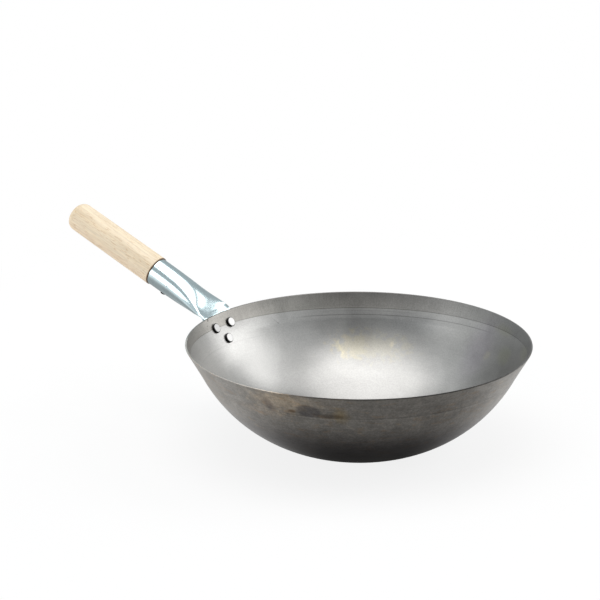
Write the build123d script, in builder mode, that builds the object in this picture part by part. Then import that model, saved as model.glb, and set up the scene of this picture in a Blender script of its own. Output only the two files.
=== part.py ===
# Carbon steel wok with one long handle.
#
# A spun sheet bowl with a flat base and a straight band below its rim. The handle is a
# steel tube, pressed flat at one end, bent down over the rim and held against the outside
# of the wall by three rivets. A turned wooden grip sits in the tube's round mouth and is
# kept there by one screw from below.
#
# Millimetres, +Z up. The origin is the centre of the base's underside, where the wok stands.
# The handle points along -X and rises away from the rim.

import os
from math import atan, cos, degrees, exp, radians, sin, sqrt, tan

from build123d import *

# Bowl
rim_radius = 178.0  # outer edge of the rim
rim_height = 107.4  # rim above the surface that the wok stands on
base_radius = 62.5  # where the flat base meets the wall
sheet = 1.5  # thickness of the bowl's sheet
band_width = 30.0  # straight band below the rim, measured down the wall
band_slope = 59.7  # degrees between the band and the horizontal
wall_slope = 15.3  # degrees at which the wall's arc leaves the base for the band
base_edge_radius = 20.0  # soft turn from the base into the wall
rim_edge_radius = 0.35  # deburred edges of the cut rim

# Socket tube
tube_radius = 15.2  # outside of the round mouth
tube_wall = 1.2
socket_length = 81.3  # from the corner of the bend to the mouth, along the handle's axis
handle_rise = 24.0  # degrees between the handle's axis and the horizontal
flat_width = 49.0  # width of the tube where it is pressed flat
bend_height = 1.9  # corner of the bend above the rim, measured up the wall
bend_radius = 6.0  # to the middle of the two pressed layers
tang_margin = 9.2  # from the lower rivet's centre to the tang's end
tang_corner_share = 0.41  # corner radius of the tang, of its width

# How the pressed tube opens: its height has grown by two thirds after the opening length,
# and its width narrows a little later
opening_length = 20.0
opening_power = 1.3
narrowing_power = 1.4
# The long arcs of its section run this far round it at the mouth, and less before it
roundness_share = 0.4
roundness_power = 1.4
# Stations of its sections, as shares of the way from the bend to the mouth
station_shares = (0.0, 0.03, 0.10, 0.19, 0.30, 0.44, 0.62, 0.90, 1.0)
cavity_start = 1  # the first station where the two layers stand apart

# Rivets
rivet_shank_radius = 2.5
rivet_head_radius = 5.25
rivet_head_height = 2.4
rivet_head_edge_share = 0.33  # rounding of a head's edge, of its height
rivet_tail_radius = 4.6
rivet_tail_height = 1.8
rivet_tail_edge_share = 0.65
rivet_clearance = 0.05  # round the shank, in the wall and in the tang
upper_rivet_drop = 13.9  # down the wall from the rim
upper_rivet_spacing = 27.2  # between the two upper rivets
rivet_row_spacing = 14.9  # from the upper row down to the lower rivet

# Wooden grip
grip_step = 0.9  # the wood is this proud of the tube's mouth
grip_taper = 0.4  # radius lost from the shoulder to the end
grip_length = 118.5  # wood that shows, from the shoulder to the end
grip_end_dome = 2.3  # how far the middle of the end stands out
grip_end_share = 0.58  # rounding of the end's edge, of its radius
grip_shoulder_edge = 0.6
shoulder_gap = 0.4  # between the tube's mouth and the shoulder
tenon_length = 34.0  # turned stub inside the tube
tenon_clearance = 0.15
tenon_tip_clearance = 0.6

# Screw that keeps the grip in the tube
screw_from_mouth = 16.5
screw_head_radius = 3.6
screw_head_height = 1.6
screw_head_edge_share = 0.55
screw_shank_radius = 1.75
screw_length = 16.0  # below the head
screw_tip_length = 3.0
screw_tip_radius = 0.2
screw_clearance = 0.05
cross_width = 0.9  # cross recess in the head
cross_length = 3.6
cross_depth_share = 0.5  # of the head's height

overrun = 5.0  # how far cutting bodies run past what they cut
seat_overlap = 0.6  # heads start this deep in their seat and are cut to its shape

rise = sin(radians(band_slope))
run = cos(radians(band_slope))
sideways = Vector(0, -1, 0)
rim_point = Vector(-rim_radius, 0, rim_height)
wall_up = Vector(-run, 0, rise)
wall_out = Vector(-rise, 0, -run)
handle_direction = Vector(-cos(radians(handle_rise)), 0, sin(radians(handle_rise)))

bend_angle = band_slope - handle_rise
bend_run = bend_radius * tan(radians(bend_angle) / 2)
bend_corner = rim_point + wall_out * tube_wall + wall_up * bend_height
neck_length = socket_length - bend_run
screw_distance = socket_length - screw_from_mouth


def wall_plane(drop, turn=0.0):
    """Plane on the outside of the band: z outwards, y up the wall."""
    origin = rim_point - wall_up * drop
    return Plane(
        origin.rotate(Axis.Z, turn),
        x_dir=sideways.rotate(Axis.Z, turn),
        z_dir=wall_out.rotate(Axis.Z, turn),
    )


def handle_plane(distance):
    """Plane across the handle's axis, this far from the bend: z outwards, y upwards."""
    return Plane(bend_corner + handle_direction * distance, x_dir=sideways, z_dir=handle_direction)


def mix(start, end, share):
    return start + (end - start) * share


def growth(distance):
    """How far the pressed tube has opened: 0 at the bend, and close to 1 at the mouth."""
    return 1 - exp(-(((distance - bend_run) / opening_length) ** opening_power))


def openness(distance):
    """0 where the tube is pressed flat, 1 where it is round."""
    return growth(distance) / growth(socket_length)


def half_height(distance):
    """From the handle's axis to the top or bottom of the tube."""
    return mix(tube_wall, tube_radius, openness(distance))


# The pressed strip is curved like the band that it lies on, so its edges stand higher than
# its middle. Its lean is that rise of an edge, as a share of the edge's distance from the
# middle, and it fades out towards the round mouth.
strip_curve_radius = rim_radius / rise + tube_wall
strip_edge = flat_width / 2 - tube_wall
strip_lean = (strip_curve_radius - sqrt(strip_curve_radius**2 - strip_edge**2)) / strip_edge


def tube_section(plane, distance=bend_run, inset=0.0):
    """Face of the tube's section at this distance, made of four tangent arcs."""
    opened = openness(distance)
    width = mix(flat_width / 2, tube_radius, opened**narrowing_power)
    height = mix(tube_wall, tube_radius, opened)
    roundness = roundness_share * opened**roundness_power
    lean = strip_lean * (1 - opened)
    edge_radius = (height - width * roundness) / (1 - roundness)
    edge = width - edge_radius
    lift = edge * lean
    top_angle = 2 * atan(roundness - lean)
    bottom_angle = 2 * atan(roundness + lean)
    small = edge_radius - inset
    top = (edge + small * sin(top_angle), lift + small * cos(top_angle))
    bottom = (edge + small * sin(bottom_angle), lift - small * cos(bottom_angle))
    side = (edge + small, lift)
    middle = height - inset
    with BuildLine(plane):
        upper = ThreePointArc((-top[0], top[1]), (0, middle), top)
        right = ThreePointArc(top, side, bottom)
        lower = ThreePointArc(bottom, (0, -middle), (-bottom[0], bottom[1]))
        left = ThreePointArc((-bottom[0], bottom[1]), (-side[0], side[1]), (-top[0], top[1]))
    return Face(Wire([upper, right, lower, left]))


# Outer form of the bowl, filled, which also shapes the tang that lies on it
band_foot = (rim_radius - band_width * run, rim_height - band_width * rise)
wall_start = (cos(radians(wall_slope)), sin(radians(wall_slope)))
with BuildPart() as bowl_form:
    with BuildSketch(Plane.XZ):
        with BuildLine():
            Line((0, 0), (base_radius, 0))
            TangentArc((base_radius, 0), band_foot, tangent=wall_start)
            Line(band_foot, (rim_radius, rim_height))
            Line((rim_radius, rim_height), (0, rim_height))
            Line((0, rim_height), (0, 0))
        make_face()
    revolve(axis=Axis.Z)
    fillet(bowl_form.edges().group_by(Axis.Z)[0], base_edge_radius)

# Rivets stand square to the wall, two side by side and one below them
upper_rivet_turn = degrees(upper_rivet_spacing / 2 / (rim_radius - upper_rivet_drop * run))
lower_rivet_drop = upper_rivet_drop + rivet_row_spacing
rivet_planes = [
    wall_plane(upper_rivet_drop, upper_rivet_turn),
    wall_plane(upper_rivet_drop, -upper_rivet_turn),
    wall_plane(lower_rivet_drop),
]
rivet_grip = sheet + 2 * tube_wall
with BuildPart() as rivet_holes:
    with Locations(*rivet_planes):
        Cylinder(rivet_shank_radius + rivet_clearance, 2 * (rivet_grip + overrun))

# The screw stands square to the handle's axis, with its head below the tube
screw_plane = Plane(
    handle_plane(screw_distance).origin,
    x_dir=handle_direction,
    z_dir=-handle_plane(screw_distance).y_dir,
)
screw_axis = Axis(screw_plane.origin, screw_plane.z_dir)
head_seat = half_height(screw_distance)
with BuildPart() as screw_hole:
    with BuildSketch(screw_plane.offset(head_seat + overrun)):
        Circle(screw_shank_radius + screw_clearance)
    extrude(amount=-screw_length - screw_clearance - overrun)

# The bowl before and after its holes are punched
with BuildPart() as bowl_blank:
    add(bowl_form.part)
    offset(amount=-sheet, openings=bowl_blank.faces().sort_by(Axis.Z)[-1])
    fillet(bowl_blank.faces().sort_by(Axis.Z)[-1].edges(), rim_edge_radius)

with BuildPart() as wok_bowl:
    add(bowl_blank.part)
    add(rivet_holes.part, mode=Mode.SUBTRACT)

# The tang: the pressed end of the tube on the wall, cut to a rounded outline
strip_plane = Plane(bend_corner - wall_up * bend_run, x_dir=sideways, z_dir=wall_up)
tang_reach = lower_rivet_drop + tang_margin
tang_length = tang_reach + bend_height - bend_run
outline_height = 2 * tang_length
with BuildPart() as tang:
    extrude(tube_section(strip_plane), amount=tang_length, dir=-wall_up)
    with BuildSketch(wall_plane(tang_reach - outline_height / 2)):
        RectangleRounded(flat_width, outline_height, flat_width * tang_corner_share)
    extrude(amount=2 * tube_wall + overrun, both=True, mode=Mode.INTERSECT)

# The socket before and after its holes are drilled
stations = sorted([bend_run + neck_length * share for share in station_shares] + [screw_distance])
outside = [tube_section(handle_plane(station), station) for station in stations]
inside = [tube_section(handle_plane(station), station, tube_wall) for station in stations[cavity_start:]]
bend_centre = strip_plane.origin - strip_plane.y_dir * bend_radius
with BuildPart() as socket_blank:
    loft(outside)
    loft(inside, mode=Mode.SUBTRACT)
    revolve(tube_section(strip_plane), Axis(bend_centre, sideways), bend_angle)
    add(tang.part)
    add(bowl_form.part, mode=Mode.SUBTRACT)

with BuildPart() as handle_socket:
    add(socket_blank.part)
    add(rivet_holes.part, mode=Mode.SUBTRACT)
    add(screw_hole.part, mode=Mode.SUBTRACT)

# Head and tail of one rivet: z = 0 is the outside of the bowl's wall, and z runs outwards
head_top = -sheet - rivet_head_height
tail_top = 2 * tube_wall + rivet_tail_height
with BuildPart() as rivet_ends:
    with BuildSketch(Plane.XY.offset(head_top)):
        Circle(rivet_head_radius)
    extrude(amount=rivet_head_height + seat_overlap)
    fillet(rivet_ends.edges().sort_by(Axis.Z)[0], rivet_head_height * rivet_head_edge_share)
    with BuildSketch(Plane.XY.offset(tail_top)):
        Circle(rivet_tail_radius)
    extrude(amount=-rivet_tail_height - seat_overlap)
    fillet(rivet_ends.edges().sort_by(Axis.Z)[-1], rivet_tail_height * rivet_tail_edge_share)

with BuildPart() as rivet_shank:
    with BuildSketch(Plane.XY.offset(head_top / 2 - sheet / 2)):
        Circle(rivet_shank_radius)
    extrude(amount=rivet_grip + rivet_head_height / 2 + rivet_tail_height / 2)

with BuildPart() as handle_rivets:
    with Locations(*rivet_planes):
        add(rivet_ends.part)
    add(bowl_blank.part, mode=Mode.SUBTRACT)
    add(socket_blank.part, mode=Mode.SUBTRACT)
    with Locations(*rivet_planes):
        add(rivet_shank.part)

# The grip is turned about the handle's axis: x runs along it, y outwards
turning_plane = Plane(bend_corner, x_dir=handle_direction, z_dir=sideways)
handle_axis = Axis(bend_corner, handle_direction)
shoulder = socket_length + shoulder_gap
shoulder_radius = tube_radius + grip_step
grip_end = shoulder + grip_length
grip_end_radius = shoulder_radius - grip_taper
end_corner = (grip_end - grip_end_dome, grip_end_radius)
tenon_tip = shoulder - tenon_length
tenon_radius = tube_radius - tube_wall - tenon_clearance
tenon_tip_radius = half_height(tenon_tip) - tube_wall - tenon_tip_clearance
with BuildPart() as wooden_grip:
    with BuildSketch(turning_plane) as grip_profile:
        with BuildLine():
            Polyline(
                (grip_end, 0),
                (tenon_tip, 0),
                (tenon_tip, tenon_tip_radius),
                (shoulder, tenon_radius),
                (shoulder, shoulder_radius),
                end_corner,
            )
            TangentArc((grip_end, 0), end_corner, tangent=(0, 1))
        make_face()
        fillet(grip_profile.vertices().sort_by(Axis.X)[-2], grip_end_radius * grip_end_share)
        fillet(grip_profile.vertices().sort_by(Axis.Y)[-1], grip_shoulder_edge)
    revolve(axis=handle_axis)
    add(screw_hole.part, mode=Mode.SUBTRACT)

# The screw's shank starts in the solid of its head, below the recess
shank_top = head_seat + screw_head_height * (1 - cross_depth_share) / 2
tip_base = head_seat - screw_length + screw_tip_length
with BuildPart() as grip_screw:
    with BuildSketch(screw_plane.offset(head_seat + screw_head_height)):
        Circle(screw_head_radius)
    extrude(amount=-screw_head_height - seat_overlap)
    fillet(grip_screw.edges().group_by(screw_axis)[-1], screw_head_height * screw_head_edge_share)
    with BuildSketch(screw_plane.offset(head_seat + screw_head_height)):
        Rectangle(cross_length, cross_width)
        Rectangle(cross_width, cross_length)
    extrude(amount=-screw_head_height * cross_depth_share, mode=Mode.SUBTRACT)
    add(socket_blank.part, mode=Mode.SUBTRACT)
    with BuildSketch(screw_plane.offset(shank_top)):
        Circle(screw_shank_radius)
    extrude(amount=tip_base - shank_top)
    with BuildSketch(screw_plane.offset(tip_base)):
        Circle(screw_shank_radius)
    with BuildSketch(screw_plane.offset(head_seat - screw_length)):
        Circle(screw_tip_radius)
    loft()

os.makedirs("parts", exist_ok=True)

wok_bowl.part.label = "wok_bowl"
handle_socket.part.label = "handle_socket"
handle_rivets.part.label = "handle_rivets"
wooden_grip.part.label = "wooden_grip"
grip_screw.part.label = "grip_screw"

export_step(wok_bowl.part, "parts/wok_bowl.step")
export_step(handle_socket.part, "parts/handle_socket.step")
export_step(handle_rivets.part, "parts/handle_rivets.step")
export_step(wooden_grip.part, "parts/wooden_grip.step")
export_step(grip_screw.part, "parts/grip_screw.step")
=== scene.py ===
# Looks of the carbon steel wok: a spun bowl, a zinc plated socket, steel rivets and a pale wooden grip
import math

import bpy
from mathutils import Matrix, Vector


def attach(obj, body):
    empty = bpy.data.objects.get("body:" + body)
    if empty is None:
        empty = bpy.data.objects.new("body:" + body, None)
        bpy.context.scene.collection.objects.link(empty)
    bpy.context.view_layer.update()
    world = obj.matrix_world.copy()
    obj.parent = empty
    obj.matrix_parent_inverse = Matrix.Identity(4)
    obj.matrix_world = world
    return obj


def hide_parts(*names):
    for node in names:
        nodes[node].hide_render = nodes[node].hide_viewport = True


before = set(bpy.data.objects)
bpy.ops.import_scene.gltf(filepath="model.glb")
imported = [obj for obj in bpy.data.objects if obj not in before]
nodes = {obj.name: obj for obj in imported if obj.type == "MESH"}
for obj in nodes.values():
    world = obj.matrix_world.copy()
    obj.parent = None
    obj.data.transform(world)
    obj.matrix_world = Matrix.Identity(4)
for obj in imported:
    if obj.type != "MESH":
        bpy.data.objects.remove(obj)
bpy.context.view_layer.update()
print("frame loaded:", ", ".join(sorted(nodes)))


def deselectAll():
    bpy.ops.object.select_all(action="DESELECT")


# Camera, as the photograph was taken

view = {
    "target": (0.0, 0.0, 0.1074),  # middle of the rim
    "distance": 2.9592,
    "azimuth": 32.0,  # degrees, 0 looks along +Y
    "elevation": 18.10,
    "heading": 33.2255,  # degrees, a little to the left of the target
    "pitch": -17.2606,
    "lens": 173.32,
    "sensor": 36.0,
    "clipEnd": 60.0,
}


def pointAt(azimuth, elevation, distance, target):
    # place at this distance from the target, in degrees round and above it
    turn, rise = math.radians(azimuth), math.radians(elevation)
    flat = math.cos(rise)
    way = Vector((math.sin(turn) * flat, -math.cos(turn) * flat, math.sin(rise)))
    return Vector(target) + way * distance


def addCamera():
    place = pointAt(view["azimuth"], view["elevation"], view["distance"], view["target"])
    turn = (math.radians(90 + view["pitch"]), 0, math.radians(view["heading"]))
    bpy.ops.object.camera_add(location=place, rotation=turn)
    camera = bpy.context.object
    camera.name = "camera"
    camera.data.lens = view["lens"]
    camera.data.sensor_width = view["sensor"]
    camera.data.clip_end = view["clipEnd"]
    bpy.context.scene.camera = camera


# Small helpers for the node trees

noiseSpan = (0.3, 0.7)  # a noise stays mostly between these


def addNode(tree, kind, inputs, **settings):
    node = tree.nodes.new(kind)
    for name, value in settings.items():
        setattr(node, name, value)
    for place, value in inputs.items():
        if isinstance(value, bpy.types.NodeSocket):
            tree.links.new(value, node.inputs[place])
        else:
            node.inputs[place].default_value = value
    return node


def calculate(tree, operation, first, second=0.0):
    return addNode(tree, "ShaderNodeMath", {0: first, 1: second}, operation=operation).outputs[0]


def vectorMath(tree, operation, *values):
    return addNode(tree, "ShaderNodeVectorMath", dict(enumerate(values)), operation=operation).outputs


def dot(tree, vector, way):
    return vectorMath(tree, "DOT_PRODUCT", vector, way)["Value"]


def length(tree, vector):
    return vectorMath(tree, "LENGTH", vector)["Value"]


def multiply(tree, *values):
    product = values[0]
    for value in values[1:]:
        product = calculate(tree, "MULTIPLY", product, value)
    return product


def ease(tree, value, start, end, low=0.0, high=1.0):
    # smooth step from low to high between start and end
    inputs = {0: value, 1: start, 2: end, 3: low, 4: high}
    return addNode(tree, "ShaderNodeMapRange", inputs, interpolation_type="SMOOTHSTEP").outputs[0]


def noise(tree, vector, scale, detail, roughness=0.5, warp=0.0):
    inputs = {"Vector": vector, "Scale": scale, "Detail": detail, "Roughness": roughness, "Distortion": warp}
    return addNode(tree, "ShaderNodeTexNoise", inputs).outputs[0]


def vary(tree, pattern, levels, span=noiseSpan):
    # spread a noise over these two levels
    return ease(tree, pattern, *span, *levels)


def blend(tree, amount, first, second, kind="MIX"):
    inputs = {0: amount, 6: first, 7: second}
    return addNode(tree, "ShaderNodeMix", inputs, data_type="RGBA", blend_type=kind).outputs[2]


def combine(tree, x, y, z):
    return addNode(tree, "ShaderNodeCombineXYZ", {0: x, 1: y, 2: z}).outputs[0]


def separate(tree, vector):
    return addNode(tree, "ShaderNodeSeparateXYZ", {0: vector}).outputs


def grey(shade):
    return (shade, shade, shade, 1.0)


def level(tree, value):
    return combine(tree, value, value, value)


def tint(tree, amount, color, shade):
    # multiply the color by the shade, by this amount
    return blend(tree, amount, color, shade, "MULTIPLY")


def bumped(tree, height, values):
    inputs = {"Height": height, "Strength": values["bumpStrength"], "Distance": values["bumpDistance"]}
    return addNode(tree, "ShaderNodeBump", inputs).outputs[0]


def newMaterial(name):
    material = bpy.data.materials.new(name)
    material.use_nodes = True
    tree = material.node_tree
    tree.nodes.clear()
    coordinates = addNode(tree, "ShaderNodeTexCoord", {})
    return material, tree, coordinates.outputs["Object"]


def finishMaterial(tree, surface):
    addNode(tree, "ShaderNodeOutputMaterial", {"Surface": surface.outputs[0]})


def metalSurface(tree, color, roughness, **inputs):
    inputs = {"Base Color": color, "Metallic": 1.0, "Roughness": roughness} | inputs
    finishMaterial(tree, addNode(tree, "ShaderNodeBsdfPrincipled", inputs))


def giveMaterial(piece, material):
    piece.data.materials.clear()
    piece.data.materials.append(material)


# Studio: softboxes overhead, to the right and to the left, grey walls and a pale floor

studio = {
    "target": (0.0, 0.0, 0.09),
    "softboxes": {
        # shape, azimuth, elevation, distance, width, height, radiance
        "overheadSoftbox": ("ELLIPSE", -57.0, 86.0, 4.0, 4.4, 4.4, 2.1),
        "rightSoftbox": ("RECTANGLE", 134.5, 24.0, 5.0, 2.3, 4.4, 2.9),
        "upperRightSoftbox": ("RECTANGLE", 152.5, 43.0, 5.0, 1.0, 1.65, 2.6),
        "lowerRightSoftbox": ("RECTANGLE", 152.5, 16.0, 5.0, 1.1, 1.2, 2.4),
        "leftSoftbox": ("RECTANGLE", -29.0, 11.0, 5.0, 2.2, 2.8, 2.5),
    },
    "wallRadius": 7.0,
    "wallHeight": 12.0,
    "wallFoot": -0.6,
    "wallColor": (0.46, 0.48, 0.49, 1.0),
    # brighter and darker stretches of the walls: azimuth, half width, level
    "wallStretches": ((40.0, 34.0, 0.5), (-55.0, 24.0, 1.35)),
    "stretchFades": (1.25, 0.75),  # shares of the half width where a stretch begins and is whole
    "sides": 96,  # of the walls and the floor
    "fill": 0.35,  # level of the background as a light
    "floorRadius": 3.0,
    "floorGap": 0.0002,  # keeps the floor just clear of the base
    "floorColor": (0.93, 0.93, 0.93, 1.0),
    # level of the floor in a reflection: where its near and far parts are, and in each of them how lit
    # the sides and the front are
    "mirroredReach": (0.095, 0.185),
    "mirroredNear": (0.75, 0.07),
    "mirroredFar": (1.02, 0.43),
    "mirroredFront": -50.0,  # turn of the front, in degrees
    "mirroredFacing": 0.96,  # cosine between a place's turn and the front's, where the front is whole
    "mirroredEdge": (0.30, 0.38),
    "mirroredOutside": 0.38,  # past the edge
    "shadowReach": (0.40, 0.75),  # the floor fades into the white background between these
    "shadowLift": 0.85,  # how much of the shadow the white background takes away
}


def addSoftboxes():
    for name, values in studio["softboxes"].items():
        shape, azimuth, elevation, away, width, height, radiance = values
        place = pointAt(azimuth, elevation, away, studio["target"])
        bpy.ops.object.light_add(type="AREA", location=place)
        lamp = bpy.context.object
        lamp.name = name
        lamp.rotation_euler = (Vector(studio["target"]) - place).to_track_quat("-Z", "Y").to_euler()
        lamp.data.shape = shape
        lamp.data.size = width
        lamp.data.size_y = height
        area = width * height * (math.pi / 4 if shape == "ELLIPSE" else 1)
        lamp.data.energy = radiance * math.pi * area
        lamp.visible_camera = False


def backgroundRays(tree):
    # 1 where the camera, a reflection or a refraction looks straight at the background
    path = addNode(tree, "ShaderNodeLightPath", {}).outputs
    seen = calculate(tree, "MAXIMUM", path["Is Camera Ray"], path["Is Glossy Ray"])
    return calculate(tree, "MAXIMUM", seen, path["Is Transmission Ray"])


def addWorld():
    world = bpy.data.worlds.new("studioWorld")
    bpy.context.scene.world = world
    world.use_nodes = True
    tree = world.node_tree
    tree.nodes.clear()
    strength = ease(tree, backgroundRays(tree), 0.0, 1.0, studio["fill"], 1.0)
    shade = addNode(tree, "ShaderNodeBackground", {"Color": grey(1.0), "Strength": strength})
    addNode(tree, "ShaderNodeOutputWorld", {"Surface": shade.outputs[0]})


def addWalls():
    deselectAll()
    middle = studio["wallFoot"] + studio["wallHeight"] / 2
    bpy.ops.mesh.primitive_cylinder_add(
        vertices=studio["sides"],
        radius=studio["wallRadius"],
        depth=studio["wallHeight"],
        end_fill_type="NOTHING",
        location=(0, 0, middle),
    )
    walls = bpy.context.object
    walls.name = "studioWalls"
    bpy.ops.object.transform_apply(location=True)
    material, tree, place = newMaterial("studioWallGrey")
    lit = 1.0
    for azimuth, half, stretch in studio["wallStretches"]:
        facing = pointAt(azimuth, 0.0, 1.0 / studio["wallRadius"], (0, 0, 0))
        near = dot(tree, place, (facing.x, facing.y, 0.0))
        edge, core = (math.cos(math.radians(half * share)) for share in studio["stretchFades"])
        lit = multiply(tree, lit, ease(tree, near, edge, core, 1.0, stretch))
    shade = addNode(tree, "ShaderNodeEmission", {"Color": studio["wallColor"], "Strength": lit})
    finishMaterial(tree, shade)
    material.cycles.emission_sampling = "NONE"
    giveMaterial(walls, material)
    walls.visible_camera = False
    walls.visible_shadow = False


def addFloor():
    deselectAll()
    bpy.ops.mesh.primitive_circle_add(
        vertices=studio["sides"],
        radius=studio["floorRadius"],
        fill_type="NGON",
        location=(0, 0, -studio["floorGap"]),
    )
    floor = bpy.context.object
    floor.name = "studioFloor"
    bpy.ops.object.transform_apply(location=True)
    material, tree, place = newMaterial("studioFloorPaint")
    across = separate(tree, place)
    away = length(tree, combine(tree, across[0], across[1], 0.0))
    rays = addNode(tree, "ShaderNodeLightPath", {}).outputs
    # the floor turns into the white background far out, and its shadow is lifted for the camera alone
    far = multiply(tree, ease(tree, away, *studio["shadowReach"]), backgroundRays(tree))
    far = calculate(tree, "MAXIMUM", far, multiply(tree, rays["Is Camera Ray"], studio["shadowLift"]))
    paint = addNode(tree, "ShaderNodeBsdfDiffuse", {"Color": studio["floorColor"]})
    # in a reflection the floor is an emission instead, with its own levels that paint its light and shadow
    turn = math.radians(studio["mirroredFront"])
    facing = calculate(tree, "DIVIDE", dot(tree, place, (math.cos(turn), math.sin(turn), 0.0)), away)
    near, distant = (
        ease(tree, facing, 0.0, studio["mirroredFacing"], *studio[part]) for part in ("mirroredNear", "mirroredFar")
    )
    reached = ease(tree, away, *studio["mirroredReach"])
    lit = calculate(tree, "ADD", near, multiply(tree, reached, calculate(tree, "SUBTRACT", distant, near)))
    lit = multiply(tree, lit, ease(tree, away, *studio["mirroredEdge"], 1.0, studio["mirroredOutside"]))
    mirrored = addNode(tree, "ShaderNodeEmission", {"Color": grey(1.0), "Strength": lit})
    shades = {0: rays["Is Glossy Ray"], 1: paint.outputs[0], 2: mirrored.outputs[0]}
    paint = addNode(tree, "ShaderNodeMixShader", shades)
    white = addNode(tree, "ShaderNodeEmission", {"Color": grey(1.0), "Strength": 1.0})
    shade = addNode(tree, "ShaderNodeMixShader", {0: far, 1: paint.outputs[0], 2: white.outputs[0]})
    finishMaterial(tree, shade)
    material.cycles.emission_sampling = "NONE"
    giveMaterial(floor, material)


# Bowl: its section is drawn from the middle of the base, out and up the outside, over the rim and
# down the inside again, and is then spun round the upright axis

bowl = {
    "rimRadius": 0.178,
    "rimHeight": 0.1074,
    "sheet": 0.0015,
    "bandWidth": 0.030,  # straight band below the rim
    "bandSlope": 59.7,  # degrees
    "baseRadius": 0.0625,
    "wallSlope": 15.3,  # degrees where the wall leaves the base
    "baseEdge": 0.020,  # soft turn from the base into the wall
    "rimEdge": 0.00035,
    "turns": 192,
    "bandRings": 48,
    "wallRings": 40,
    "edgeRings": 5,
    "flatRings": (0.012, 0.024, 0.036, 0.048),
    "crowding": 1.3,  # above 1 the wall's rings stand closer together near the band
    "rimSteps": 4,
    "mergeReach": 0.000001,
    # marks left by the spinning roller: distance down from the rim, depth and half width
    "insideMarks": ((0.0300, 0.00003, 0.0012),),
    "outsideMarks": (
        (0.0255, 0.00003, 0.0008),
        (0.0290, -0.00004, 0.0008),
        (0.0310, 0.00006, 0.0012),
        (0.0340, -0.00003, 0.0010),
    ),
}


def slopeWay(slope):
    return Vector((math.cos(slope), math.sin(slope)))


def slopeUp(slope):
    # square to a slope, towards the inside of the bowl
    return Vector((-math.sin(slope), math.cos(slope)))


def markDepth(marks, drop):
    return sum(depth * math.exp(-(((drop - place) / width) ** 2)) for place, depth, width in marks)


def bowlSide(inset, marks, markWay):
    # one side of the sheet from the base to the rim, as (point, distance down from the rim)
    bandSlope, wallSlope = math.radians(bowl["bandSlope"]), math.radians(bowl["wallSlope"])
    rim = Vector((bowl["rimRadius"], bowl["rimHeight"]))
    foot = rim - slopeWay(bandSlope) * bowl["bandWidth"]
    start = Vector((bowl["baseRadius"], 0))
    chord = foot - start
    radius = chord.length / 2 / math.sin(math.atan2(chord.y, chord.x) - wallSlope)
    centre = start + slopeUp(wallSlope) * radius
    edge = bowl["baseEdge"]
    rise = centre.y - edge
    edgeCentre = Vector((centre.x + math.sqrt((radius - edge) ** 2 - rise**2), edge))
    edgeSlope = math.atan2(edgeCentre.x - centre.x, rise)
    # where the band meets the wall's arc on this side of the sheet
    fromCentre = foot + slopeUp(bandSlope) * inset - centre
    along = fromCentre.dot(slopeWay(bandSlope))
    reach = math.sqrt(along**2 - fromCentre.length_squared + (radius - inset) ** 2) - along
    corner = centre + fromCentre + slopeWay(bandSlope) * reach
    cornerSlope = math.atan2(corner.x - centre.x, centre.y - corner.y)
    top = rim + Vector((-inset / math.sin(bandSlope), 0))
    band = (top - corner).length

    points = [(Vector((away, inset)), None) for away in bowl["flatRings"]]
    for step in range(bowl["edgeRings"]):
        slope = edgeSlope * step / bowl["edgeRings"]
        points.append((edgeCentre - slopeUp(slope) * (edge - inset), None))
    for step in range(bowl["wallRings"]):
        share = step / bowl["wallRings"]
        slope = edgeSlope + (cornerSlope - edgeSlope) * (1 - (1 - share) ** bowl["crowding"])
        drop = (radius - inset) * (cornerSlope - slope) + band
        points.append((centre - slopeUp(slope) * (radius - inset), drop))
    for step in range(bowl["bandRings"] + 1):
        away = band * (1 - step / (bowl["bandRings"] + 1))
        points.append((top - slopeWay(bandSlope) * away, away))

    flatEnd = (radius - inset) * (cornerSlope - edgeSlope) + band + (edge - inset) * edgeSlope
    shaped = []
    for point, drop in points:
        if drop is None:
            drop = flatEnd + edgeCentre.x - min(point.x, edgeCentre.x) - max(0, point.x - edgeCentre.x)
        else:
            point = point + slopeUp(bandSlope) * markWay * markDepth(marks, drop)
        shaped.append((point, drop))
    return shaped, top


def roundedCorner(before, corner, after):
    # arc that rounds a corner of the rim between two straight runs
    radius, steps = bowl["rimEdge"], bowl["rimSteps"]
    back, ahead = (before - corner).normalized(), (after - corner).normalized()
    half = back.angle(ahead) / 2
    centre = corner + (back + ahead).normalized() * radius / math.sin(half)
    first = corner + back * radius / math.tan(half) - centre
    last = corner + ahead * radius / math.tan(half) - centre
    points = []
    for step in range(steps + 1):
        share = step / steps
        turned = first.slerp(last, share) if 0 < share < 1 else (first, last)[step == steps]
        points.append(centre + turned.normalized() * radius)
    return points


def bowlSection():
    # whole section as (point, distance down from the rim, 1 on the inside and 0 on the outside)
    outside, outerTop = bowlSide(0.0, bowl["outsideMarks"], 1)
    inside, innerTop = bowlSide(bowl["sheet"], bowl["insideMarks"], -1)
    section = [(point, drop, 0.0) for point, drop in outside]
    for point in roundedCorner(outside[-1][0], outerTop, innerTop):
        section.append((point, 0.0, 0.0))
    for point in roundedCorner(outerTop, innerTop, inside[-1][0]):
        section.append((point, 0.0, 1.0))
    section += [(point, drop, 1.0) for point, drop in reversed(inside)]
    return section


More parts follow.
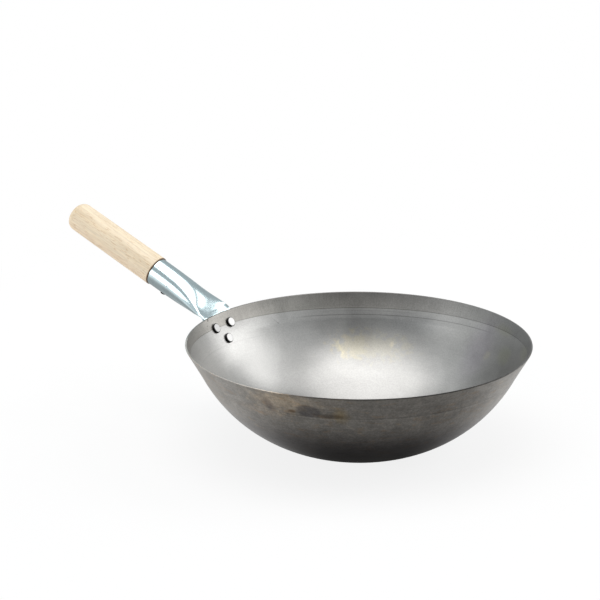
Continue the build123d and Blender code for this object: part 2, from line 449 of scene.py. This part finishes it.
def makeBowl():
    section = bowlSection()
    deselectAll()
    bpy.ops.mesh.primitive_plane_add(size=0.01)
    piece = bpy.context.object
    piece.name = "wokBowl"
    bpy.ops.object.mode_set(mode="EDIT")
    bpy.ops.mesh.select_all(action="SELECT")
    bpy.ops.mesh.merge(type="CENTER")
    last = section[0][0]
    bpy.ops.transform.translate(value=(last.x, 0, last.y))
    for point, _, _ in section[1:]:
        step = point - last
        bpy.ops.mesh.extrude_vertices_move(TRANSFORM_OT_translate={"value": (step.x, 0, step.y)})
        last = point
    bpy.ops.object.mode_set(mode="OBJECT")
    # what the material reads: how far down from the rim, and which side of the sheet
    down = piece.data.attributes.new("drop", "FLOAT", "POINT")
    sides = piece.data.attributes.new("inside", "FLOAT", "POINT")
    for index, (point, drop, side) in enumerate(section):
        piece.data.vertices[index].co = (point.x, 0, point.y)
        down.data[index].value = drop
        sides.data[index].value = side
    bpy.ops.object.mode_set(mode="EDIT")
    bpy.ops.mesh.select_all(action="SELECT")
    bpy.ops.mesh.spin(steps=bowl["turns"], angle=math.tau, center=(0, 0, 0), axis=(0, 0, 1))
    bpy.ops.mesh.select_all(action="SELECT")
    bpy.ops.mesh.remove_doubles(threshold=bowl["mergeReach"])
    # the two open rings round the axis are closed with fans
    bpy.ops.mesh.select_all(action="DESELECT")
    bpy.ops.mesh.select_non_manifold()
    bpy.ops.mesh.edge_face_add()
    bpy.ops.mesh.fill_holes(sides=0)
    bpy.ops.object.mode_set(mode="OBJECT")
    for face in piece.data.polygons:
        face.select = len(face.vertices) > 4
    bpy.ops.object.mode_set(mode="EDIT")
    bpy.ops.mesh.select_mode(type="FACE")
    bpy.ops.mesh.poke()
    bpy.ops.mesh.select_all(action="SELECT")
    bpy.ops.mesh.normals_make_consistent(inside=False)
    bpy.ops.object.mode_set(mode="OBJECT")
    bpy.ops.object.shade_smooth()
    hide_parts("wok_bowl")
    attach(piece, "root")
    print("bowl spun:", len(piece.data.polygons), "faces")
    return piece


# Bare steel of the bowl

steel = {
    "insideColor": (0.37, 0.365, 0.355, 1.0),
    "outsideColor": (0.234, 0.222, 0.204, 1.0),
    "footShade": (0.50, 0.49, 0.52, 1.0),  # painted shade: the outside darkens near the base, for the dim floor that it reflects
    "footShadeReach": (0.038, 0.088),
    "baseTint": (0.86, 0.86, 0.86, 1.0),  # of the inside at the base
    "baseReach": (0.085, 0.112),
    "axisClear": 0.004,  # nearer to the axis the turn round it counts for less
    "insideRoughness": 0.36,
    "outsideRoughness": 0.38,
    "cloudGloss": (0.95, 1.06),  # what the mottling does to the roughness
    # levels of each pattern, and its noise: scale, detail, roughness, warp
    "speckle": (0.91, 1.07),
    "speckleNoise": (750.0, 2.0, 0.7),
    "streaks": (0.96, 1.04),
    "streakNoise": (2.4, 3.0, 0.6),
    "mottle": (0.93, 1.07),
    "mottleNoise": (26.0, 5.0, 0.62, 0.5),
    "bandSpeckle": (0.92, 1.08),
    "bandNoise": (800.0, 3.0, 0.8),
    "hairlines": (0.95, 1.05),
    "hairlineNoise": (1.0, 2.0, 0.6),
    "hairlineReach": (0.010, 0.020),
    "outsideMottle": (0.80, 1.18),
    "patchNoise": (60.0, 6.0, 0.7, 0.5),
    "brushedNoise": (2.0, 5.0, 0.7, 0.4),
    "patchShares": (0.6, 0.4),
    "outsideGrit": (0.86, 1.12),
    "gritNoise": (420.0, 4.0, 0.75),
    "outsideSpan": (0.34, 0.66),
    "rust": (1.12, 0.96, 0.80, 1.0),
    "rustNoise": (1.3, 6.0, 0.72, 0.6),
    "rustSpan": (0.52, 0.64),
    "rustAmount": 0.7,
    "wobbleNoise": (160.0, 4.0, 0.6),
    # how fast the drawn out patterns change round the bowl and down its wall
    "streakRun": (1.0, 2200.0),
    "brushedRun": (6.0, 130.0),
    "hairlineRun": (150.0, 30.0),
    "bumpNoise": (900.0, 2.0, 0.6),
    "bumpStrength": 0.10,
    "bumpDistance": 0.0002,
    "bandTint": (0.80, 0.80, 0.80, 1.0),  # above the ring line
    "handleTint": (1.0, 0.975, 0.93, 1.0),  # brownish there, strongest by the handle
    "handleReach": (0.7, -0.9),
    "ringLine": 0.0178,
    "ringEdge": 0.0003,
    "ringTilt": 0.009,  # the ring lines of the inside lie askew, lowest at this turn
    "ringTurn": 123,
    "lineFades": (0.4, 1.6),  # shares of a line's half width where it is whole and ends
    "lineEnd": 0.7,  # share of its half run where a line begins to fade
    "facingReach": 0.01,  # keeps a mark to its own side of the bowl
    # thin lines round the bowl: distance down from the rim, half width, tint, and the turn of their middle
    # and half their run, in degrees
    "insideLines": (
        (0.0166, 0.0004, 1.16, 124, 24),
        (0.0175, 0.0004, 0.72, 123, 100),
        (0.0206, 0.0004, 0.88, 118, 20),
        (0.0249, 0.0005, 0.70, 106, 44),
        (0.0385, 0.0004, 0.90, -168, 34),
    ),
    # along the rim: a painted highlight at one stretch, and darker at another
    "rimLines": (
        (0.0000, 0.0003, 2.60, -118, 38),
        (0.0000, 0.0003, 0.45, -38, 46),
    ),
    "outsideLines": (
        (0.0005, 0.0006, 0.40, -38, 46),
        (0.0175, 0.0004, 0.92, -58, 120),
        (0.0290, 0.0006, 0.82, -58, 120),
        (0.0312, 0.0009, 1.12, -30, 60),
    ),
    # marks: turn in degrees, distance down from the rim, tilt in degrees, half length,
    # half width, softness, raggedness, tint
    "insideMarks": (
        (117.0, 0.0600, 0, 0.0350, 0.0150, 0.30, 4.0, (1.07, 1.045, 0.965)),
        (125.5, 0.0590, 0, 0.0150, 0.0130, 0.35, 4.0, (1.05, 1.03, 0.965)),
        (130.9, 0.0560, 60, 0.0045, 0.0011, 0.50, 0.8, (1.15, 1.14, 1.06)),
        (129.9, 0.0620, 110, 0.0052, 0.0012, 0.50, 0.8, (1.15, 1.14, 1.06)),
        (129.2, 0.0690, 60, 0.0042, 0.0012, 0.50, 0.8, (1.12, 1.11, 1.05)),
        (107.9, 0.0567, 90, 0.0030, 0.0022, 0.60, 0.5, (1.24, 1.20, 1.10)),
        (66.5, 0.0400, 90, 0.0290, 0.0175, 0.70, 0.4, (0.97, 0.94, 1.00)),
        (49.5, 0.0340, 0, 0.0130, 0.0090, 0.50, 1.2, (1.06, 1.08, 0.97)),
        (61.0, 0.0440, 60, 0.0055, 0.0040, 0.60, 1.2, (1.16, 1.15, 1.04)),
        (32.0, 0.0140, 0, 0.0180, 0.0060, 0.60, 1.2, (1.06, 1.07, 0.96)),
        (58.0, 0.0120, 0, 0.0160, 0.0050, 0.60, 1.2, (1.05, 1.05, 0.97)),
        (155.4, 0.0233, 130, 0.0051, 0.0003, 0.50, 0.0, (0.74, 0.74, 0.74)),
        (154.2, 0.0272, 160, 0.0011, 0.0006, 0.50, 0.4, (0.60, 0.60, 0.60)),
        (-173.4, 0.0012, 50, 0.0022, 0.0008, 0.40, 0.3, (0.30, 0.30, 0.30)),
        (-171.4, 0.0065, 0, 0.0008, 0.0006, 0.50, 0.3, (0.60, 0.60, 0.60)),
        # the broad grey marks from here on are painted light and shade: lighter and darker patches of the inside's
        # reflections
        (120.0, 0.0000, 0, 0.0900, 0.0090, 0.90, 0.0, (0.74, 0.74, 0.75)),
        (150.0, 0.0260, 0, 0.0400, 0.0300, 0.90, 0.2, (1.34, 1.34, 1.34)),
        (172.0, 0.0060, 0, 0.0300, 0.0160, 0.80, 0.2, (0.62, 0.62, 0.62)),
        (168.0, 0.0700, 0, 0.0240, 0.0300, 0.90, 0.2, (0.88, 0.88, 0.88)),
        (-170.0, 0.0500, 0, 0.0400, 0.0400, 0.90, 0.2, (1.14, 1.14, 1.14)),
        (76.0, 0.0400, 0, 0.0360, 0.0380, 0.90, 0.2, (1.18, 1.18, 1.18)),
        (72.0, 0.1000, 0, 0.0350, 0.0300, 0.90, 0.2, (1.50, 1.50, 1.50)),
        (102.0, 0.0320, 0, 0.0350, 0.0090, 0.80, 0.2, (0.84, 0.85, 0.86)),
        (137.0, 0.0610, 0, 0.0280, 0.0200, 0.90, 0.2, (1.26, 1.26, 1.26)),
        (142.0, 0.0020, 0, 0.0240, 0.0080, 0.90, 0.2, (1.20, 1.20, 1.20)),
    ),
    "outsideMarks": (
        (-75.0, 0.0215, 0, 0.0120, 0.0085, 0.22, 0.5, (0.56, 0.57, 0.62)),
        (-67.6, 0.0265, 0, 0.0120, 0.0030, 0.60, 0.8, (0.66, 0.61, 0.56)),
        (-89.5, 0.0210, 70, 0.0090, 0.0050, 0.55, 0.8, (0.68, 0.66, 0.68)),
        (-81.0, 0.0242, 0, 0.0045, 0.0022, 0.60, 1.0, (0.66, 0.54, 0.42)),
        (-64.0, 0.0250, 80, 0.0085, 0.0070, 0.80, 1.2, (1.10, 0.97, 0.72)),
        # these three lighter brownish smears at the left are partly real tarnish and partly a painted highlight
        (-85.0, 0.0150, 0, 0.0320, 0.0130, 0.60, 2.6, (1.42, 1.32, 1.18)),
        (-80.0, 0.0050, 0, 0.0380, 0.0120, 0.90, 0.8, (1.40, 1.34, 1.27)),
        (-93.0, 0.0320, 0, 0.0260, 0.0060, 0.70, 2.2, (1.22, 1.16, 1.10)),
        (-22.0, 0.0280, 0, 0.0380, 0.0180, 0.90, 0.4, (0.80, 0.80, 0.80)),
        (-125.0, 0.0300, 0, 0.0300, 0.0260, 0.90, 0.4, (0.86, 0.83, 0.78)),
        (-26.0, 0.0330, 100, 0.0030, 0.0008, 0.60, 0.8, (1.25, 1.22, 1.15)),
        (-22.0, 0.0270, 80, 0.0040, 0.0010, 0.60, 0.8, (1.20, 1.18, 1.14)),
        (-59.3, 0.0460, 45, 0.0155, 0.0011, 0.80, 0.8, (1.14, 1.12, 1.08)),
        (-61.5, 0.0520, 45, 0.0120, 0.0008, 0.80, 0.8, (1.12, 1.10, 1.07)),
    ),
}


def markMask(tree, place, drop, wobble, mark):
    # 1 in the middle of a mark and 0 away from it
    turn, down, tilt, halfLength, halfWidth, soft, ragged = mark
    turn, tilt = math.radians(turn), math.radians(tilt)
    across = dot(tree, place, (-math.sin(turn), math.cos(turn), 0.0))
    facing = dot(tree, place, (math.cos(turn), math.sin(turn), 0.0))
    offset = combine(tree, across, calculate(tree, "SUBTRACT", drop, down), 0.0)
    long = dot(tree, offset, (math.cos(tilt) / halfLength, math.sin(tilt) / halfLength, 0.0))
    wide = dot(tree, offset, (-math.sin(tilt) / halfWidth, math.cos(tilt) / halfWidth, 0.0))
    away = calculate(tree, "ADD", length(tree, combine(tree, long, wide, 0.0)), multiply(tree, wobble, ragged))
    onSide = ease(tree, facing, 0.0, steel["facingReach"])
    return multiply(tree, ease(tree, away, 1 - soft, 1 + soft, 1.0, 0.0), onSide)


def addLines(tree, color, around, drop, side, lines):
    whole, end = steel["lineFades"]
    for place, width, shade, middle, run in lines:
        away = calculate(tree, "ABSOLUTE", calculate(tree, "SUBTRACT", drop, place))
        turn, half = math.radians(middle), math.radians(run)
        turned = dot(tree, around, (math.cos(turn), math.sin(turn), 0.0))
        within = ease(tree, turned, math.cos(half), math.cos(half * steel["lineEnd"]))
        near = multiply(tree, ease(tree, away, width * whole, width * end, 1.0, 0.0), within, side)
        color = tint(tree, near, color, grey(shade))
    return color


def bareSteel():
    material, tree, place = newMaterial("spunSteel")
    axes = separate(tree, place)
    drop = addNode(tree, "ShaderNodeAttribute", {}, attribute_name="drop").outputs["Fac"]
    inside = addNode(tree, "ShaderNodeAttribute", {}, attribute_name="inside").outputs["Fac"]
    outside = calculate(tree, "SUBTRACT", 1.0, inside)
    away = calculate(tree, "MAXIMUM", length(tree, combine(tree, axes[0], axes[1], 0.0)), steel["axisClear"])
    aroundX, aroundY = (calculate(tree, "DIVIDE", axis, away) for axis in (axes[0], axes[1]))
    around = combine(tree, aroundX, aroundY, 0.0)

    def drawnOut(run, descent):
        # coordinates that change this fast round the bowl and down its wall
        across, onwards = (multiply(tree, axis, run) for axis in (aroundX, aroundY))
        return combine(tree, across, onwards, multiply(tree, drop, descent))

    # base color of each side, with the painted shade that makes the outside's foot bluish black, and the darker
    # base inside
    color = blend(tree, inside, steel["outsideColor"], steel["insideColor"])
    foot = multiply(tree, ease(tree, drop, *steel["footShadeReach"]), outside)
    color = tint(tree, foot, color, steel["footShade"])
    base = multiply(tree, ease(tree, drop, *steel["baseReach"]), inside)
    color = tint(tree, base, color, steel["baseTint"])

    # band above the ring line, inside
    ringTurn = math.radians(steel["ringTurn"])
    lowest = dot(tree, around, (math.cos(ringTurn), math.sin(ringTurn), 0.0))
    tilted = multiply(tree, calculate(tree, "SUBTRACT", 1.0, lowest), steel["ringTilt"])
    ringDrop = calculate(tree, "ADD", drop, tilted)
    ringStart, ringEnd = steel["ringLine"] - steel["ringEdge"], steel["ringLine"] + steel["ringEdge"]
    band = multiply(tree, ease(tree, ringDrop, ringStart, ringEnd, 1.0, 0.0), inside)
    color = tint(tree, band, color, steel["bandTint"])
    byHandle = multiply(tree, band, ease(tree, aroundX, *steel["handleReach"]))
    color = tint(tree, byHandle, color, steel["handleTint"])

    # sandy speckle, fine streaks round the bowl and slow mottling
    speckle = vary(tree, noise(tree, place, *steel["speckleNoise"]), steel["speckle"])
    streaks = noise(tree, drawnOut(*steel["streakRun"]), *steel["streakNoise"])
    streaks = vary(tree, streaks, steel["streaks"])
    cloud = noise(tree, place, *steel["mottleNoise"])
    mottle = vary(tree, cloud, steel["mottle"])
    color = tint(tree, 1.0, color, level(tree, multiply(tree, speckle, streaks, mottle)))
    sand = vary(tree, noise(tree, place, *steel["bandNoise"]), steel["bandSpeckle"])
    color = tint(tree, band, color, level(tree, sand))

    # patches, grit and rust of the outside
    brushed = drawnOut(*steel["brushedRun"])
    roundShare, brushedShare = steel["patchShares"]
    patches = calculate(tree, "ADD", multiply(tree, noise(tree, place, *steel["patchNoise"]), roundShare),
                        multiply(tree, noise(tree, brushed, *steel["brushedNoise"]), brushedShare))
    patches = vary(tree, patches, steel["outsideMottle"], steel["outsideSpan"])
    color = tint(tree, outside, color, level(tree, patches))
    grit = vary(tree, noise(tree, place, *steel["gritNoise"]), steel["outsideGrit"], steel["outsideSpan"])
    color = tint(tree, outside, color, level(tree, grit))
    rusty = ease(tree, noise(tree, brushed, *steel["rustNoise"]), *steel["rustSpan"])
    color = tint(tree, multiply(tree, rusty, outside, steel["rustAmount"]), color, steel["rust"])

    # upright hairlines under the rim, inside
    hairs = noise(tree, drawnOut(*steel["hairlineRun"]), *steel["hairlineNoise"])
    hairs = vary(tree, hairs, steel["hairlines"])
    underRim = multiply(tree, ease(tree, drop, *steel["hairlineReach"], 1.0, 0.0), inside)
    color = tint(tree, underRim, color, level(tree, hairs))

    color = addLines(tree, color, around, ringDrop, inside, steel["insideLines"])
    color = addLines(tree, color, around, drop, outside, steel["outsideLines"])
    color = addLines(tree, color, around, drop, 1.0, steel["rimLines"])
    wobble = calculate(tree, "SUBTRACT", noise(tree, place, *steel["wobbleNoise"]), 0.5)
    # the marks: stains, smears and scratches, and the broad marks of painted light and shade
    for side, marks in ((inside, steel["insideMarks"]), (outside, steel["outsideMarks"])):
        for *mark, shade in marks:
            near = multiply(tree, markMask(tree, place, drop, wobble, mark), side)
            color = tint(tree, near, color, shade + (1.0,))

    roughness = ease(tree, inside, 0.0, 1.0, steel["outsideRoughness"], steel["insideRoughness"])
    roughness = multiply(tree, roughness, vary(tree, cloud, steel["cloudGloss"]))
    grain = bumped(tree, noise(tree, place, *steel["bumpNoise"]), steel)
    metalSurface(tree, color, roughness, Normal=grain)
    return material


# Socket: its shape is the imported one, with the shading of the smooth surface that it follows

socket = {
    "tubeRadius": 0.0152,
    "tubeWall": 0.0012,
    "length": 0.0813,  # from the corner of the bend to the mouth
    "rise": 24.0,  # degrees
    "flatWidth": 0.049,
    "bendHeight": 0.0019,
    "bendRadius": 0.006,
    "openingLength": 0.020,
    "openingPower": 1.3,
    "narrowingPower": 1.4,
    "roundness": 0.4,
    "roundnessPower": 1.4,
    "flatFall": 1e-9,  # an arc that falls less than this is taken as nearly straight, with this radius
    "flatBow": 1e3,
    "nearSurface": 0.00012,
    "ends": (0.0001, 0.00005),  # how far past the tube's two ends a place still counts as on it
    "slopeStep": 0.00001,
    "turnLimit": 0.72,  # cosine between a face and the shading that it may take
    "bendReach": 0.0045,  # of the bend, back from the start of the tube
    "shadedFrom": 0.001,  # past the bend, where it and the tube's start take their shading from
    "settlings": 4,
}


def socketFrame():
    slope, rise = math.radians(bowl["bandSlope"]), math.radians(socket["rise"])
    rim = Vector((-bowl["rimRadius"], 0, bowl["rimHeight"]))
    out = Vector((-math.sin(slope), 0, -math.cos(slope)))
    up = Vector((-math.cos(slope), 0, math.sin(slope)))
    corner = rim + out * socket["tubeWall"] + up * socket["bendHeight"]
    along = Vector((-math.cos(rise), 0, math.sin(rise)))
    upwards = Vector((math.sin(rise), 0, math.cos(rise)))
    bendRun = socket["bendRadius"] * math.tan((slope - rise) / 2)
    return corner, along, upwards, bendRun


def socketOpened(run, bendRun):
    # how far the tube has opened from its flat start, 0 to 1
    def growth(reach):
        return 1 - math.exp(-((max(reach - bendRun, 0) / socket["openingLength"]) ** socket["openingPower"]))

    return growth(run) / growth(socket["length"])


def socketDepth(run, side, up, bendRun):
    # how far this point lies outside the tube's section, which is made of four arcs
    opened = socketOpened(run, bendRun)
    radius, wall = socket["tubeRadius"], socket["tubeWall"]
    curve = bowl["rimRadius"] / math.sin(math.radians(bowl["bandSlope"])) + wall
    strip = socket["flatWidth"] / 2 - wall
    lean = (curve - math.sqrt(curve**2 - strip**2)) / strip * (1 - opened)
    width = socket["flatWidth"] / 2
    width += (radius - width) * opened ** socket["narrowingPower"]
    height = wall + (radius - wall) * opened
    roundness = socket["roundness"] * opened ** socket["roundnessPower"]
    edgeRadius = (height - width * roundness) / (1 - roundness)
    edge = width - edgeRadius
    lift = edge * lean
    across, over = abs(side) - edge, up - lift
    turned = math.atan2(across, over)
    for way in (1, -1):
        angle = 2 * math.atan(roundness - lean * way)
        inArc = turned < angle if way > 0 else (turned > math.pi - angle or turned < -math.pi / 2)
        if over * way > 0 and inArc:
            endSide = edge + edgeRadius * math.sin(angle)
            fall = height - (lift * way + edgeRadius * math.cos(angle))
            bow = (endSide**2 + fall**2) / (2 * fall) if abs(fall) > socket["flatFall"] else socket["flatBow"]
            return math.copysign(1, bow) * (math.hypot(side, up * way - height + bow) - abs(bow))
    return math.hypot(across, over) - edgeRadius


def socketNormal(place):
    # way that the smooth surface faces at this place, or None where it isn't followed
    corner, along, upwards, bendRun = socketFrame()
    offset = place - corner
    spot = [offset.dot(along), offset.y, offset.dot(upwards)]
    startReach, endReach = socket["ends"]
    if spot[0] > socket["length"] + endReach:
        return None
    if spot[0] > bendRun - startReach:
        if abs(socketDepth(*spot, bendRun)) > socket["nearSurface"]:
            return None
    elif spot[0] < bendRun - socket["bendReach"] or spot[2] < 0:
        return None
    # the bend and the tube's start take the shading of the tube next to them
    if spot[0] < bendRun + socket["shadedFrom"] and spot[2] > 0:
        spot = [bendRun + socket["shadedFrom"], spot[1], socket["tubeWall"]]
        for _ in range(socket["settlings"]):
            spot[2] -= socketDepth(*spot, bendRun)
    slopes = []
    for axis in range(3):
        ahead, back = list(spot), list(spot)
        ahead[axis] += socket["slopeStep"]
        back[axis] -= socket["slopeStep"]
        slopes.append(socketDepth(*ahead, bendRun) - socketDepth(*back, bendRun))
    return (along * slopes[0] + Vector((0, 1, 0)) * slopes[1] + upwards * slopes[2]).normalized()


def smoothSocket(piece):
    mesh = piece.data
    normals = [socketNormal(vertex.co) for vertex in mesh.vertices]
    shading = [Vector(corner.vector) for corner in mesh.corner_normals]
    changed = 0
    for face in mesh.polygons:
        for index in face.loop_indices:
            smooth = normals[mesh.loops[index].vertex_index]
            if smooth is not None and face.normal.dot(smooth) > socket["turnLimit"]:
                shading[index] = smooth
                changed += 1
    mesh.normals_split_custom_set(shading)
    print("socket shading:", changed, "of", len(shading), "corners follow the smooth surface")


# Zinc plate on the socket

zinc = {
    "color": (0.64, 0.77, 0.80, 1.0),
    "roughness": 0.20,
    "gloss": (0.88, 1.15),  # shares of the roughness
    "glossNoise": (220.0, 3.0, 0.6),
    "cloud": (0.93, 1.04),
    "cloudNoise": (90.0, 4.0, 0.6),
    # small dark specks: place, radius
    "specks": (
        ((-0.24497, -0.00989, 0.14998), 0.0009),
        ((-0.23024, -0.01532, 0.13330), 0.0009),
        ((-0.20228, -0.00910, 0.12977), 0.0009),
        ((-0.21858, -0.01155, 0.13650), 0.0005),
    ),
    "speckTint": (0.22, 0.21, 0.20, 1.0),
    "speckFades": (0.5, 1.3),  # shares of a speck's radius where it is whole and ends
    "speckNoise": (900.0, 2.0),
    "speckWobble": 0.001,
}


def zincPlate():
    material, tree, place = newMaterial("zincPlate")
    cloud = vary(tree, noise(tree, place, *zinc["cloudNoise"]), zinc["cloud"])
    color = tint(tree, 1.0, zinc["color"], level(tree, cloud))
    wobble = calculate(tree, "SUBTRACT", noise(tree, place, *zinc["speckNoise"]), 0.5)
    wobble = multiply(tree, wobble, zinc["speckWobble"])
    whole, end = zinc["speckFades"]
    for speck, radius in zinc["specks"]:
        away = calculate(tree, "ADD", vectorMath(tree, "DISTANCE", place, speck)["Value"], wobble)
        near = ease(tree, away, radius * whole, radius * end, 1.0, 0.0)
        color = tint(tree, near, color, zinc["speckTint"])
    levels = [zinc["roughness"] * share for share in zinc["gloss"]]
    metalSurface(tree, color, vary(tree, noise(tree, place, *zinc["glossNoise"]), levels))
    return material


# Rivets, with painted shade round the edge of each head, and the screw, painted near black for the shade it sits in

rivets = {
    "color": (0.37, 0.365, 0.36, 1.0),
    "roughness": 0.32,
    "brushed": (0.90, 1.08),
    "brushedNoise": (700.0, 3.0, 0.6),
    # painted shade: a near-black rim round each rivet head, where it meets the wall
    "edgeShade": (0.03, 0.03, 0.03, 1.0),
    "edgeShadeReach": (0.0042, 0.0046),  # from a rivet's axis
    "drop": 0.0139,  # upper rivets, down the wall from the rim
    "spacing": 0.0272,
    "rowSpacing": 0.0149,
}
screw = {
    # painted shade: the screw head under the socket is painted near black and reflects almost nothing, for the
    # shade it sits in
    "color": (0.012, 0.012, 0.012, 1.0),
    "roughness": 0.55,
    "specular": 0.02,
    "seat": 0.0152,  # of the head, from the handle's axis
    "stretch": 1.6,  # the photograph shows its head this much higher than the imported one
}


def rivetAxes():
    # a point on each rivet's axis and the way that it points, out of the wall
    slope = math.radians(bowl["bandSlope"])
    down = Vector((math.cos(slope), 0, -math.sin(slope)))
    out = Vector((-math.sin(slope), 0, -math.cos(slope)))
    rim = Vector((-bowl["rimRadius"], 0, bowl["rimHeight"]))
    upper = rim + down * rivets["drop"]
    turn = Matrix.Rotation(rivets["spacing"] / 2 / -upper.x, 3, "Z")
    lower = upper + down * rivets["rowSpacing"]
    return [(turn @ upper, turn @ out), (turn.inverted() @ upper, turn.inverted() @ out), (lower, out)]


def rivetSteel():
    material, tree, place = newMaterial("rivetSteel")
    nearest = 1.0
    for point, way in rivetAxes():
        offset = vectorMath(tree, "SUBTRACT", place, point)[0]
        away = length(tree, vectorMath(tree, "CROSS_PRODUCT", offset, way)[0])
        nearest = calculate(tree, "MINIMUM", nearest, away)
    brushed = vary(tree, noise(tree, place, *rivets["brushedNoise"]), rivets["brushed"])
    color = tint(tree, 1.0, rivets["color"], level(tree, brushed))
    # the edge of each head is painted dark, standing for its shade
    color = blend(tree, ease(tree, nearest, *rivets["edgeShadeReach"]), color, rivets["edgeShade"])
    metalSurface(tree, color, rivets["roughness"])
    return material


def proudScrew():
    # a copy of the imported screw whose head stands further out
    corner, _, upwards, _ = socketFrame()
    deselectAll()
    packed = nodes["grip_screw"]
    bpy.context.view_layer.objects.active = packed
    packed.select_set(True)
    bpy.ops.object.duplicate()
    piece = bpy.context.object
    piece.name = "proudScrew"
    for vertex in piece.data.vertices:
        raised = (corner - vertex.co).dot(upwards) - screw["seat"]
        if raised > 0:
            vertex.co -= upwards * raised * (screw["stretch"] - 1)
    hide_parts("grip_screw")
    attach(piece, "root")
    print("screw head raised")
    return piece


def screwShadePaint():
    material, tree, _ = newMaterial("screwShadedBlack")
    inputs = {
        "Base Color": screw["color"],
        "Roughness": screw["roughness"],
        "Specular IOR Level": screw["specular"],
    }
    finishMaterial(tree, addNode(tree, "ShaderNodeBsdfPrincipled", inputs))
    return material


# Wooden grip

wood = {
    "rise": 24.0,  # degrees of the handle's axis
    "axisPoint": (-0.17999, 0.0, 0.10844),  # bend of the handle, where its axis starts
    "light": (0.94, 0.80, 0.60, 1.0),
    "dark": (0.88, 0.715, 0.50, 1.0),
    # painted shade: the grip is darker and redder below its axis
    "underside": (0.96, 0.90, 0.88, 1.0),
    "fleck": (0.64, 0.44, 0.25, 1.0),
    "fleckAmount": 0.62,
    "fibers": (0.86, 1.07),
    # each grain: how fast it changes along the grip and across it, detail, warp
    "bandGrain": (9.0, 120.0, 3.0, 0.4),
    "fiberGrain": (28.0, 700.0, 3.0),
    "fleckGrain": (130.0, 800.0, 2.0),
    "fleckPatches": (14.0, 60.0, 2.0),
    "bumpGrain": (60.0, 1500.0, 3.0),
    "grainRoughness": 0.6,
    "grainSpan": (0.32, 0.68),
    "fleckSpan": (0.55, 0.64),
    "patchSpan": (0.36, 0.56),
    "undersideReach": (0.004, -0.014),  # up from the axis
    "shoulder": 0.0817,  # along the axis
    "shoulderLine": 0.0012,
    "shoulderFades": (0.6, 1.4),  # shares of the line where it is whole and ends
    "shoulderColor": (0.17, 0.09, 0.04, 1.0),
    "roughness": 0.5,
    "coat": 0.15,
    "coatRoughness": 0.4,
    "bumpStrength": 0.08,
    "bumpDistance": 0.0002,
}


def paleWood():
    material, tree, place = newMaterial("paleWood")
    rise = math.radians(wood["rise"])
    offset = vectorMath(tree, "SUBTRACT", place, wood["axisPoint"])[0]
    along = dot(tree, offset, (-math.cos(rise), 0.0, math.sin(rise)))
    side = dot(tree, offset, (0.0, 1.0, 0.0))
    up = dot(tree, offset, (math.sin(rise), 0.0, math.cos(rise)))

    def grain(lengthwise, crosswise, detail, warp=0.0):
        stretched = combine(
            tree,
            multiply(tree, along, lengthwise),
            multiply(tree, side, crosswise),
            multiply(tree, up, crosswise),
        )
        return noise(tree, stretched, 1.0, detail, wood["grainRoughness"], warp)

    bands = ease(tree, grain(*wood["bandGrain"]), *wood["grainSpan"])
    color = blend(tree, bands, wood["light"], wood["dark"])
    fibers = vary(tree, grain(*wood["fiberGrain"]), wood["fibers"], wood["grainSpan"])
    color = tint(tree, 1.0, color, level(tree, fibers))
    flecks = ease(tree, grain(*wood["fleckGrain"]), *wood["fleckSpan"])
    flecked = ease(tree, grain(*wood["fleckPatches"]), *wood["patchSpan"])
    color = blend(tree, multiply(tree, flecks, flecked, wood["fleckAmount"]), color, wood["fleck"])
    # painted shade on the underside
    color = tint(tree, ease(tree, up, *wood["undersideReach"]), color, wood["underside"])
    whole, end = (wood["shoulder"] + wood["shoulderLine"] * share for share in wood["shoulderFades"])
    color = blend(tree, ease(tree, along, whole, end, 1.0, 0.0), color, wood["shoulderColor"])
    inputs = {
        "Base Color": color,
        "Roughness": wood["roughness"],
        "Coat Weight": wood["coat"],
        "Coat Roughness": wood["coatRoughness"],
        "Normal": bumped(tree, grain(*wood["bumpGrain"]), wood),
    }
    finishMaterial(tree, addNode(tree, "ShaderNodeBsdfPrincipled", inputs))
    return material


bpy.context.scene.view_settings.view_transform = "Standard"
addCamera()
addSoftboxes()
addWorld()
addWalls()
addFloor()
print("studio ready")

wokBowl = makeBowl()
giveMaterial(wokBowl, bareSteel())
smoothSocket(nodes["handle_socket"])
giveMaterial(nodes["handle_socket"], zincPlate())
giveMaterial(proudScrew(), screwShadePaint())
giveMaterial(nodes["handle_rivets"], rivetSteel())
giveMaterial(nodes["wooden_grip"], paleWood())
print("materials given")
